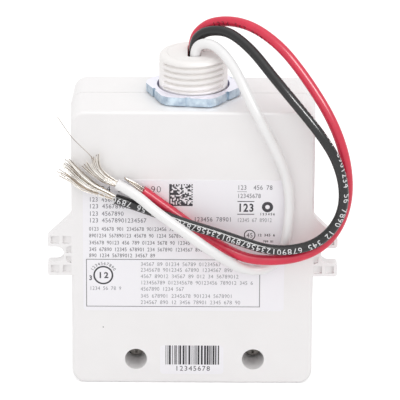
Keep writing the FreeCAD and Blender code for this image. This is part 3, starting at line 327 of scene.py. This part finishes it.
# Each finish: colour on a screen, roughness, mottle, then patch, grain and depth in millimetres
FINISHES = {
    "case_plastic": finish("case_plastic", srgb(240, 238, 238), 0.5, 0.01, 14.0, 0.28, 0.006),
    "nipple_plastic": finish("nipple_plastic", srgb(240, 237, 235), 0.42, 0.01, 8.0, 0.3, 0.004),
    "nut_steel": finish("nut_steel", srgb(164, 182, 200), 0.34, 0.04, 2.4, 0.25, 0.003, metallic=0.7,
                        second=srgb(208, 222, 232)),
    "screw_steel": finish("screw_steel", srgb(136, 132, 128), 0.45, 0.08, 1.5, 0.12, 0.003, metallic=0.9),
    "label_film": finish("label_film", srgb(243, 241, 245), 0.38, 0.006, 10.0, 0.5, 0.002),
    "fibre_sheet": finish("fibre_sheet", srgb(150, 155, 165), 0.8, 0.06, 1.2, 0.3, 0.01),
    "board_laminate": finish("board_laminate", srgb(20, 92, 58), 0.32, 0.18, 2.2, 0.4, 0.004, coat=0.2),
    "black_plastic": finish("black_plastic", srgb(34, 34, 36), 0.42, 0.08, 2.0, 0.2, 0.004),
    "contact_brass": finish("contact_brass", srgb(214, 178, 98), 0.28, 0.05, 1.0, 0.1, 0.001, metallic=1.0),
    "button_plastic": finish("button_plastic", srgb(206, 206, 208), 0.45, 0.015, 5.0, 0.25, 0.005),
    "plunger_plastic": finish("plunger_plastic", srgb(180, 174, 160), 0.5, 0.03, 2.0, 0.2, 0.004),
    "relay_plastic": finish("relay_plastic", srgb(38, 40, 44), 0.38, 0.08, 4.0, 0.25, 0.004),
    "capacitor_case": finish("capacitor_case", srgb(214, 178, 60), 0.33, 0.04, 3.0, 0.3, 0.003, coat=0.2),
    "blue_coating": finish("blue_coating", srgb(42, 82, 150), 0.28, 0.08, 1.6, 0.5, 0.02, coat=0.3),
    "fuse_case": finish("fuse_case", srgb(52, 52, 56), 0.4, 0.06, 2.0, 0.2, 0.003),
    "can_sleeve": finish("can_sleeve", srgb(48, 52, 70), 0.25, 0.05, 3.0, 0.4, 0.002, coat=0.4),
    "winding": finish("winding", srgb(170, 92, 44), 0.3, 0.16, 0.5, 0.3, 0.05, metallic=0.8,
                      stretch=(1, 1, 5)),
    "ferrite": finish("ferrite", srgb(66, 66, 70), 0.7, 0.14, 0.4, 0.2, 0.01),
    "chip_resin": finish("chip_resin", srgb(40, 40, 44), 0.62, 0.10, 0.6, 0.12, 0.006),
    "tinned_metal": finish("tinned_metal", srgb(196, 194, 188), 0.34, 0.05, 1.4, 0.2, 0.004, metallic=1.0),
    "led_body": finish("led_body", srgb(244, 236, 196), 0.3, 0.02, 1.0, 0.2, 0.001),
    "clear_plastic": finish("clear_plastic", srgb(226, 236, 232), 0.15, 0.01, 3.0, 0.5, 0.001,
                            transmission=0.7),
    "terminal_plastic": finish("terminal_plastic", srgb(72, 74, 78), 0.45, 0.06, 3.0, 0.25, 0.005),
    "spring_steel": finish("spring_steel", srgb(190, 190, 192), 0.3, 0.04, 1.5, 0.15, 0.002, metallic=1.0),
    "black_insulation": finish("black_insulation", srgb(26, 26, 27), 0.24, 0.12, 2.0, 0.6, 0.012),
    "red_insulation": finish("red_insulation", srgb(214, 44, 72), 0.32, 0.05, 3.0, 0.6, 0.012),
    "white_insulation": finish("white_insulation", srgb(238, 237, 237), 0.34, 0.008, 4.0, 0.6, 0.008),
    "copper_strands": finish("copper_strands", srgb(240, 234, 226), 0.3, 0.05, 2.5, 0.2, 0.002,
                             metallic=0.2, second=srgb(252, 249, 244)),
}
# Painted highlight on the locknut's top faces, and painted shade in the chamfer of its bore
paint_nut_highlight_and_shade(FINISHES["nut_steel"], srgb(246, 245, 255), srgb(96, 94, 128))
# A darker copy of the strand finish: painted shade for the dark gaps between the wires
SHADED_STRANDS = finish("painted_shade_strands", srgb(122, 108, 92), 0.34, 0.1, 2.5, 0.2, 0.002, metallic=0.3,
                      second=srgb(160, 144, 126))
INK = finish("label_ink", srgb(52, 50, 56), 0.5, 0.06, 0.8, 0.2, 0.001)
FAINT_INK = finish("faint_ink", srgb(96, 94, 102), 0.5, 0.06, 0.8, 0.2, 0.001)
LEAD_INKS = {
    "black": finish("lead_ink", srgb(226, 226, 228), 0.5, 0.04, 0.8, 0.2, 0.001),
    "red": finish("red_lead_ink", srgb(120, 22, 36), 0.5, 0.2, 0.8, 0.2, 0.001),
}
PANEL_INK = finish("panel_ink", srgb(120, 120, 124), 0.5, 0.04, 0.8, 0.2, 0.001)
MARK_DUST = finish("mark_dust", srgb(150, 146, 144), 0.6, 0.1, 0.4, 0.2, 0.001)


def dress_nodes():
    """Give each CAD node the finish that its record names."""
    slots = {row["node"]: row["material_slot"] for row in frame["record"]["subparts"]}
    for name, piece in nodes.items():
        piece.data.materials.clear()
        piece.data.materials.append(FINISHES[slots[name]])


def add_object(name, data):
    """Place a piece that has its materials, and let it ride on the case."""
    piece = bpy.data.objects.new(name, data)
    bpy.context.scene.collection.objects.link(piece)
    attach(piece, "case")
    return piece


def mesh_of(data):
    """The mesh that a curve or text makes. The curve is removed."""
    carrier = bpy.data.objects.new("carrier", data)
    bpy.context.scene.collection.objects.link(carrier)
    bpy.context.view_layer.update()
    mesh = bpy.data.meshes.new_from_object(carrier)
    bpy.data.objects.remove(carrier)
    bpy.data.curves.remove(data)
    return mesh


def add_spline(curve, points, resolution):
    """An open smooth line with those control points."""
    spline = curve.splines.new("NURBS")
    spline.points.add(len(points) - 1)
    for target, point in zip(spline.points, points):
        target.co = (*mm(point), 1.0)
    spline.order_u = 3
    spline.use_endpoint_u = True
    spline.resolution_u = resolution


def new_curve(name, radius, roundness):
    curve = bpy.data.curves.new(name, "CURVE")
    curve.dimensions = "3D"
    curve.bevel_depth = radius * MM
    curve.bevel_resolution = roundness
    curve.use_fill_caps = True
    return curve


def centreline(points):
    """The smooth line of those control points as a list of points, in metres."""
    curve = new_curve("centreline", radius=0.0, roundness=0)
    add_spline(curve, points, resolution=16)
    mesh = mesh_of(curve)
    line = [vertex.co.copy() for vertex in mesh.vertices]
    bpy.data.meshes.remove(mesh)
    return line


def make_leads():
    leads = {}
    for color, points in LEAD_ROUTES.items():
        slot = f"{color}_insulation"
        curve = new_curve(f"{color}_lead_cord", LEAD_RADIUS, roundness=6)
        add_spline(curve, points, resolution=16)
        curve.materials.append(FINISHES[slot])
        leads[color] = add_object(f"{color}_lead_cord", curve)
        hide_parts(f"{color}_lead")
    return leads


def polyline_at(points, share):
    """The point at a share of the way through a list of equally weighted points."""
    place = share * (len(points) - 1)
    index = min(int(place), len(points) - 2)
    rest = place - index
    return [a + (b - a) * rest for a, b in zip(points[index], points[index + 1])]


def strand_points(fan, index, chance):
    """The control points of one wire. Across runs from 0 at the fan's lower edge to 1 at its upper edge."""
    across = (index + 0.5 + chance.uniform(-STRAND_JITTER, STRAND_JITTER)) / fan["count"]
    depth = chance.uniform(-1, 1)
    drift = chance.uniform(-STRAND_DRIFT, STRAND_DRIFT)
    wave = chance.uniform(0, 2 * math.pi)
    reach = chance.uniform(*fan["reach"])
    points = []
    for step in range(STRAND_STEPS):
        share = reach * step / (STRAND_STEPS - 1)
        ripple = STRAND_RIPPLE * math.sin(wave + STRAND_RIPPLE_TURN * share)
        place = across + drift * share * (1 - share) + ripple
        low = polyline_at(fan["lower"], share)
        high = polyline_at(fan["upper"], share)
        x, z = [a + (b - a) * place for a, b in zip(low, high)]
        bundle = math.sqrt(max(0.0, 1 - (2 * across - 1) ** 2 * (1 - share)))
        points.append((x, fan["middle"] + depth * bundle * fan["half_depth"], z))
    return points


def make_strands(color):
    """Fine wires that leave the insulation side by side and fan out towards their tips."""
    fan = STRAND_FANS[color]
    chance = random.Random(fan["seed"])
    curve = new_curve(f"{color}_strand_wires", STRAND_RADIUS, roundness=2)
    for material in (FINISHES["copper_strands"], SHADED_STRANDS):
        curve.materials.append(material)
    for index in range(fan["count"]):
        add_spline(curve, strand_points(fan, index, chance), resolution=4)
        # Every few wires take the darker copy, painted shade for the gaps between the wires
        curve.splines[-1].material_index = int(index % fan["shaded_every"] == 1)
    if color == "white":
        add_spline(curve, STRAY_STRAND, resolution=6)
        stray = curve.splines[-1]
        # The stray wire takes the same darker strand finish
        stray.material_index = 1
        for point in stray.points:
            point.radius = STRAY_THINNING
    piece = add_object(f"{color}_strand_wires", curve)
    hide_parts(f"{color}_strands")
    return piece


def digit_shapes(weight, strips=1):
    """Each digit as flat corners and faces, one unit tall and centred across.

    Cut into strips, it bends round a lead.
    """
    shapes = {}
    for sign in "0123456789":
        curve = bpy.data.curves.new("digit", "FONT")
        curve.body = sign
        curve.resolution_u = 3
        curve.offset = weight
        mesh = mesh_of(curve)
        xs = [vertex.co.x for vertex in mesh.vertices]
        ys = [vertex.co.y for vertex in mesh.vertices]
        middle = (min(xs) + max(xs)) / 2
        low = min(ys)
        tall = max(ys) - low
        work = bmesh.new()
        work.from_mesh(mesh)
        for k in range(1, strips):
            bmesh.ops.bisect_plane(work, geom=work.verts[:] + work.edges[:] + work.faces[:],
                                   plane_co=(0, low + tall * k / strips, 0), plane_no=(0, 1, 0))
        work.to_mesh(mesh)
        work.free()
        corners = [((vertex.co.x - middle) / tall, (vertex.co.y - low) / tall) for vertex in mesh.vertices]
        shapes[sign] = (corners, [tuple(face.vertices) for face in mesh.polygons])
        bpy.data.meshes.remove(mesh)
    return shapes


DIGITS = {
    "thin": digit_shapes(-0.012),
    "plain": digit_shapes(0.0),
    "bold": digit_shapes(0.03),
    "wrapped": digit_shapes(0.0, strips=8),
}


def count_up(lengths, first=1):
    """Digits that count on and on, in groups of those lengths."""
    groups = []
    value = first
    for length in lengths:
        groups.append("".join(str((value + k) % 10) for k in range(length)))
        value += length
    return " ".join(groups)


def word_lengths(chance, total):
    """Lengths of words that fill a line of that many characters."""
    lengths = []
    while total > 0:
        length = min(total, chance.choice(WORD_LENGTHS))
        lengths.append(length)
        total -= length + 1
    return lengths


def set_line(text, pitch, height, weight):
    """The corners and faces of a line of digits: x starts at 0 and each digit has its own pitch."""
    corners, faces = [], []
    squeeze = min(1.0, DIGIT_FILL * pitch / (DIGIT_WIDTH * height))
    for place, sign in enumerate(text):
        if sign == " ":
            continue
        shape, shape_faces = DIGITS[weight][sign]
        start = len(corners)
        corners += [((place + 0.5) * pitch + x * height * squeeze, y * height) for x, y in shape]
        faces += [tuple(start + k for k in face) for face in shape_faces]
    return corners, faces


class Sheet:
    """Print gathered into one mesh."""

    def __init__(self):
        self.points = []
        self.faces = []

    def add(self, points, faces):
        start = len(self.points)
        self.points += points
        self.faces += [tuple(start + k for k in face) for face in faces]

    def done(self, name, material):
        mesh = bpy.data.meshes.new(name)
        mesh.from_pydata([mm(point) for point in self.points], [], self.faces)
        mesh.validate()
        mesh.materials.append(material)
        return add_object(name, mesh)


class Flat(Sheet):
    """Print on a flat face at one y. Places are x and z."""

    def __init__(self, y):
        super().__init__()
        self.y = y

    def face(self, corners):
        self.add([(x, self.y, z) for x, z in corners], [tuple(range(len(corners)))])

    def bar(self, x0, x1, z0, z1):
        self.face([(x0, z0), (x1, z0), (x1, z1), (x0, z1)])

    def border(self, x0, x1, z0, z1, rule):
        self.bar(x0, x1, z1 - rule, z1)
        self.bar(x0, x1, z0, z0 + rule)
        self.bar(x0, x0 + rule, z0, z1)
        self.bar(x1 - rule, x1, z0, z1)

    def ring(self, x, z, outer, inner):
        steps = 40
        turns = [2 * math.pi * k / steps for k in range(steps + 1)]
        for a, b in zip(turns, turns[1:]):
            self.face([(x + size * math.cos(t), z + size * math.sin(t))
                       for size, t in ((inner, a), (outer, a), (outer, b), (inner, b))])

    def disc(self, x, z, radius):
        steps = 32
        turns = [2 * math.pi * k / steps for k in range(steps)]
        self.face([(x + radius * math.cos(t), z + radius * math.sin(t)) for t in turns])

    def digits(self, x0, x1, foot, height, text, weight="plain"):
        corners, faces = set_line(text, (x1 - x0) / len(text), height, weight)
        self.add([(x0 + x, self.y, foot + up) for x, up in corners], faces)

    def rows(self, left, places, pitch, height, words, weight="plain"):
        """Lines of digits from one left edge. A place is a foot and a right end, and words fills a line."""
        for foot, right in places:
            total = round((right - left) / pitch)
            self.digits(left, right, foot, height, words(total), weight)

    def arched(self, x, z, radius, height, text, first, last):
        """Digits on an arc over a ring, from one angle to another in degrees."""
        corners, faces = set_line(text, 1.0, height, "plain")
        step = math.radians(last - first) / len(text)
        points = []
        for along, up in corners:
            place = math.floor(along)
            turn = math.radians(first) + (place + 0.5) * step
            aside = along - place - 0.5
            out = radius + up
            points.append((x + out * math.cos(turn) + aside * math.sin(turn), self.y,
                           z + out * math.sin(turn) - aside * math.cos(turn)))
        self.add(points, faces)

    def grid(self, x0, z0, cell, count, seed):
        """A square of random cells with a solid left and lower border and dashed ones opposite."""
        chance = random.Random(seed)
        far = count - 1
        for row in range(count):
            for column in range(count):
                solid = row == 0 or column == 0
                dashed = (row == far or column == far) and (row + column) % 2 == 0
                if solid or dashed or (row < far and column < far and chance.random() < CELL_SHARE):
                    self.bar(x0 + column * cell, x0 + (column + 1) * cell,
                             z0 + row * cell, z0 + (row + 1) * cell)

    def stripes(self, x0, x1, z0, z1, seed):
        """Upright bars of random widths."""
        chance = random.Random(seed)
        x = x0
        while x < x1:
            width = chance.choice(STRIPE_WIDTHS)
            self.bar(x, min(x1, x + width), z0, z1)
            x += width + chance.choice(STRIPE_GAPS)


def print_text(ink, faint):
    """The heading, the short lines under it, the wide lines and the small ones of the note."""
    chance = random.Random(TEXT_SEED)

    def words(total):
        lengths = word_lengths(chance, total)
        return count_up(lengths, first=chance.randrange(10))

    def short_words(total):
        return count_up((3, total - 4))

    ink.digits(TEXT_LEFT, -9.4, foot=63.2, height=2.0, text=count_up((4, 2, 2, 2)), weight="thin")
    faint.rows(TEXT_LEFT, SHORT_ROWS, pitch=0.98, height=1.4, words=short_words)
    ink.rows(TEXT_LEFT, WIDE_ROWS, pitch=0.76, height=1.2, words=words)
    faint.rows(NOTE_LEFT, NOTE_ROWS, pitch=0.84, height=1.2, words=words, weight="thin")


def print_note(ink, faint):
    """The border of the note, and a ringed number with digits in an arch over it."""
    ink.border(-32.3, 20.6, 25.6, 41.3, rule=0.18)
    ink.ring(*RING_PLACE, outer=3.05, inner=2.55)
    ink.digits(-28.9, -25.3, foot=35.0, height=2.0, text="12", weight="bold")
    ink.arched(*RING_PLACE, radius=3.4, height=0.95, text=count_up((10,)), first=157, last=23)
    ink.digits(-31.5, -30.4, foot=34.3, height=1.6, text="3", weight="bold")
    faint.digits(-31.3, -21.6, foot=31.1, height=1.15, text=count_up((4, 2, 2, 1)), weight="thin")


def print_corner(ink, faint):
    """Small lines, large digits between two bars, and two rings with digits beside them."""
    faint.digits(CORNER_LEFT, 24.1, foot=64.2, height=1.45, text="123  456 78")
    faint.bar(CORNER_LEFT, 16.3, 63.5, 63.62)
    faint.digits(CORNER_LEFT, 20.6, foot=61.5, height=1.4, text="12345678")
    ink.bar(BIG_DIGITS_LEFT, BIG_DIGITS_RIGHT, 60.25, 60.5)
    ink.digits(BIG_DIGITS_LEFT, BIG_DIGITS_RIGHT, foot=57.0, height=2.7, text="123", weight="bold")
    ink.bar(BIG_DIGITS_LEFT, BIG_DIGITS_RIGHT, 56.1, 56.35)
    ink.ring(22.6, 58.6, outer=1.7, inner=0.7)
    ink.digits(20.2, 25.0, foot=55.9, height=0.8, text="123456", weight="bold")
    faint.digits(CORNER_LEFT, 24.0, foot=53.7, height=1.25, text=count_up((5, 2, 5)), weight="thin")
    faint.digits(0.3, 11.9, foot=53.8, height=1.4, text=count_up((6, 5)))
    ink.ring(17.3, 49.4, outer=1.75, inner=1.45)
    ink.digits(16.3, 18.3, foot=48.6, height=1.5, text="45")
    ink.digits(19.6, 25.0, foot=49.0, height=0.85, text="12 345 6", weight="bold")
    ink.digits(21.4, 24.6, foot=47.0, height=0.7, text="789 01", weight="bold")


def print_main_label():
    ink = Flat(LABEL_FILM_Y - PRINT_LIFT)
    faint = Flat(LABEL_FILM_Y - PRINT_LIFT)
    print_text(ink, faint)
    print_note(ink, faint)
    ink.grid(-7.1, 58.8, cell=0.395, count=18, seed=7)
    print_corner(ink, faint)
    ink.done("main_label_print", INK)
    faint.done("main_label_faint_print", FAINT_INK)


def print_serial_label():
    ink = Flat(LABEL_FILM_Y - PRINT_LIFT)
    ink.stripes(-8.1, 8.3, 6.3, 12.7, seed=3)
    ink.digits(-5.3, 5.7, foot=4.2, height=1.6, text="12345678")
    ink.done("serial_label_print", INK)


def print_panel():
    """A bar, a ring and a dot beside the three buttons."""
    ink = Flat(PANEL_Y + PRINT_LIFT)
    places = {}
    for name in ("on", "off", "program"):
        low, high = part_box(f"{name}_button")
        places[name] = ((low[0] + high[0]) / 2 / MM - BUTTON_MARK_ASIDE, (low[2] + high[2]) / 2 / MM)
    x, z = places["on"]
    ink.bar(x - BAR_HALF_WIDTH, x + BAR_HALF_WIDTH, z - BAR_HALF_HEIGHT, z + BAR_HALF_HEIGHT)
    ink.ring(*places["off"], outer=1.2, inner=0.82)
    ink.disc(*places["program"], radius=0.55)
    ink.done("panel_print", PANEL_INK)


def mark_label_face():
    """The small dark fleck in the moulding."""
    fleck = Flat(LABEL_FACE_Y - PRINT_LIFT)
    fleck.disc(*FLECK_PLACE, FLECK_RADIUS)
    fleck.done("moulding_fleck", MARK_DUST)


def camera_back():
    """The direction from the object to the camera."""
    elevation, yaw, _ = [math.radians(value) for value in CAMERA_ANGLES]
    level = math.cos(elevation)
    return Vector((math.sin(yaw) * level, -math.cos(yaw) * level, math.sin(elevation)))


def value_at(table, place):
    """The table's value at a place between its rows, or that of the nearest end."""
    for (start, low), (end, high) in zip(table, table[1:]):
        if place <= end:
            return low + (high - low) * max(0.0, place - start) / (end - start)
    return table[-1][1]


def print_lead(color):
    """Digits that run along a lead's smooth line, wrapped round it."""
    row = LEAD_PRINTS[color]
    line = centreline(LEAD_ROUTES[color])
    lengths = [0.0]
    for before, after in zip(line, line[1:]):
        lengths.append(lengths[-1] + (after - before).length)
    last = len(line) - 1
    headings = [(line[min(k + 1, last)] - line[max(k - 1, 0)]).normalized() for k in range(len(line))]
    facing = camera_back()
    radius = LEAD_RADIUS + PRINT_LIFT
    corners, faces = set_line(count_up(row["groups"]), LEAD_PRINT_PITCH, row["height"], "wrapped")
    points = []
    index = 0
    for x, up in corners:
        place = row["start"] + x
        along = place * MM
        while index > 0 and lengths[index] > along:
            index -= 1
        while index < last - 1 and lengths[index + 1] < along:
            index += 1
        share = (along - lengths[index]) / (lengths[index + 1] - lengths[index])
        ahead = headings[index].lerp(headings[index + 1], share).normalized()
        front = (facing - ahead * facing.dot(ahead)).normalized()
        beside = front.cross(ahead)
        angle = (up - row["height"] / 2 + value_at(row["turn"], place)) / radius
        middle = line[index].lerp(line[index + 1], share) / MM
        points.append(middle + (front * math.cos(angle) + beside * math.sin(angle)) * radius)
    sheet = Sheet()
    sheet.add(points, faces)
    return sheet.done(f"{color}_lead_print", LEAD_INKS[color])


def place_camera():
    _, yaw, roll = [math.radians(value) for value in CAMERA_ANGLES]
    back = camera_back()
    right = Vector((math.cos(yaw), math.sin(yaw), 0))
    up = back.cross(right)
    side = right * math.cos(roll) + up * math.sin(roll)
    top = up * math.cos(roll) - right * math.sin(roll)
    data = bpy.data.cameras.new("camera")
    data.sensor_width = CAMERA_SENSOR
    data.lens = CAMERA_LENS
    camera = bpy.data.objects.new("camera", data)
    bpy.context.scene.collection.objects.link(camera)
    turned = Matrix((side, top, back)).transposed().to_4x4()
    camera.matrix_world = Matrix.Translation(mm(CAMERA_TARGET) + back * CAMERA_DISTANCE * MM) @ turned
    bpy.context.scene.camera = camera


def seen_directly(tree):
    """1 for rays that see a thing straight, in a mirror or through glass, and 0 for rays of light."""
    rays = tree.nodes.new("ShaderNodeLightPath")
    total = rays.outputs["Is Camera Ray"]
    for output in ("Is Glossy Ray", "Is Transmission Ray"):
        node = tree.nodes.new("ShaderNodeMath")
        node.operation = "MAXIMUM"
        tree.links.new(total, node.inputs[0])
        tree.links.new(rays.outputs[output], node.inputs[1])
        total = node.outputs["Value"]
    return total


def make_world():
    """A white backdrop for rays that see it, and a softer light from all sides."""
    world = bpy.data.worlds.new("studio")
    world.use_nodes = True
    bpy.context.scene.world = world
    tree = world.node_tree
    light = tree.nodes["Background"]
    light.inputs["Color"].default_value = WHITE
    light.inputs["Strength"].default_value = SURROUND_STRENGTH
    backdrop = tree.nodes.new("ShaderNodeBackground")
    backdrop.inputs["Color"].default_value = WHITE
    backdrop.inputs["Strength"].default_value = BACKDROP_STRENGTH
    mix = tree.nodes.new("ShaderNodeMixShader")
    tree.links.new(seen_directly(tree), mix.inputs["Fac"])
    tree.links.new(light.outputs["Background"], mix.inputs[1])
    tree.links.new(backdrop.outputs["Background"], mix.inputs[2])
    tree.links.new(mix.outputs["Shader"], tree.nodes["World Output"].inputs["Surface"])


def floor_material():
    """A pale diffuse floor that glows for rays that see it."""
    made = bpy.data.materials.new("floor")
    made.use_nodes = True
    tree = made.node_tree
    tree.nodes.remove(tree.nodes["Principled BSDF"])
    diffuse = tree.nodes.new("ShaderNodeBsdfDiffuse")
    diffuse.inputs["Color"].default_value = FLOOR_COLOR
    glow = tree.nodes.new("ShaderNodeEmission")
    glow.inputs["Strength"].default_value = FLOOR_GLOW
    both = tree.nodes.new("ShaderNodeAddShader")
    mix = tree.nodes.new("ShaderNodeMixShader")
    tree.links.new(diffuse.outputs["BSDF"], both.inputs[0])
    tree.links.new(glow.outputs["Emission"], both.inputs[1])
    tree.links.new(seen_directly(tree), mix.inputs["Fac"])
    tree.links.new(diffuse.outputs["BSDF"], mix.inputs[1])
    tree.links.new(both.outputs["Shader"], mix.inputs[2])
    tree.links.new(mix.outputs["Shader"], tree.nodes["Material Output"].inputs["Surface"])
    return made


def make_floor():
    mesh = bpy.data.meshes.new("floor")
    corners = [(x * FLOOR_HALF, y * FLOOR_HALF, 0) for x, y in ((-1, -1), (1, -1), (1, 1), (-1, 1))]
    mesh.from_pydata(corners, [], [(0, 1, 2, 3)])
    mesh.materials.append(floor_material())
    floor = bpy.data.objects.new("floor", mesh)
    bpy.context.scene.collection.objects.link(floor)


def add_lamp(name, place, aim, size, power):
    data = bpy.data.lights.new(name, "AREA")
    data.shape = "DISK"
    data.size = size
    data.energy = power
    lamp = bpy.data.objects.new(name, data)
    bpy.context.scene.collection.objects.link(lamp)
    lamp.location = place
    lamp.rotation_mode = "QUATERNION"
    lamp.rotation_quaternion = (Vector(aim) - Vector(place)).to_track_quat("-Z", "Y")
    return lamp


def make_lamps():
    """Two broad lamps, and three small ones that only show as glints."""
    for name, row in BROAD_LAMPS.items():
        add_lamp(name, row["place"], BROAD_LAMP_AIM, row["size"], row["power"])
    for place in GLINT_PLACES:
        lamp = add_lamp("glint", place, GLINT_AIM, GLINT_SIZE, GLINT_POWER)
        lamp.visible_diffuse = False


place_camera()
make_world()
make_floor()
make_lamps()
dress_nodes()
leads = make_leads()
carried = {color: [make_strands(color)] for color in LEAD_ROUTES}
for color in LEAD_PRINTS:
    carried[color].append(print_lead(color))
print_main_label()
print_serial_label()
print_panel()
mark_label_face()

bpy.context.scene.view_settings.view_transform = "Standard"
